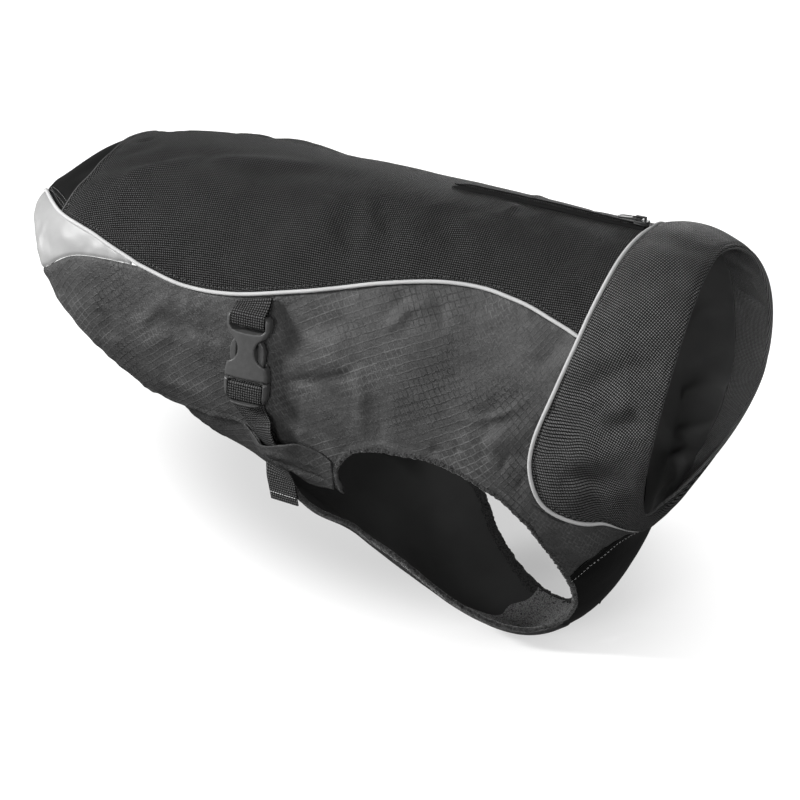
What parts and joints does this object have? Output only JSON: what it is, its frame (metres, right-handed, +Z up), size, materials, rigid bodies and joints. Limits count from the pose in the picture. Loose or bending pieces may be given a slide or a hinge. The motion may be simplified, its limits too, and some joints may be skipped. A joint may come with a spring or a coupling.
{
  "type": "dog coat",
  "caption": "Worn-shape dog coat: open torso shell with standing collar, belly flap, leg openings, buckled side straps, piping and a short back zip.",
  "frame": {"origin": "where the wearer's withers carry the coat, on the inside of the back panel", "axes": "+X forward to the neck opening, +Y to the wearer's left, +Z up out of the back"},
  "size_m": [0.4595, 0.197, 0.2928],
  "materials": {
    "weave": "coarse basket-weave nylon, faint sheen",
    "smooth_shell": "smooth satin black shell cloth",
    "ripstop": "thin ripstop with a fine diamond grid",
    "reflective": "silver reflective cloth",
    "piping": "light grey corded piping",
    "knit": "matt knit binding",
    "collar_facing": "woven facing",
    "collar_lining": "smooth lining",
    "webbing": "coarse basket-weave webbing",
    "plastic": "moulded matt plastic",
    "zip_tape": "woven zip tape",
    "zip_metal": "dark painted metal"
  },
  "bodies": {
    "coat": {"back_panel": "weave", "belly_panel": "ripstop", "buckle_prongs_left": "plastic", "buckle_prongs_right": "plastic", "buckle_socket_left": "plastic", "buckle_socket_right": "plastic", "chest_panel": "smooth_shell", "collar_facing": "collar_facing", "collar_lining": "collar_lining", "collar_outer": "weave", "collar_piping": "piping", "leg_binding_left": "knit", "leg_binding_right": "knit", "reflector_left": "reflective", "reflector_right": "reflective", "side_panel_left": "ripstop", "side_panel_right": "ripstop", "side_piping_left": "piping", "side_piping_right": "piping", "strap_lower_left": "webbing", "strap_lower_right": "webbing", "strap_tunnel_left": "ripstop", "strap_tunnel_right": "ripstop", "strap_upper_left": "webbing", "strap_upper_right": "webbing", "tail_panel": "smooth_shell", "zip_slider": "zip_metal", "zip_tape": "zip_tape"},
    "zip_pull": {"zip_pull": "zip_metal"}
  },
  "joints": [
    {"name": "zip_pull_swing", "type": "hinge", "parent": "coat", "child": "zip_pull", "pos_m": [0.06508, 0, 0.00299], "axis": [0, 1, 0], "range_deg": [0, 150]}
  ]
}
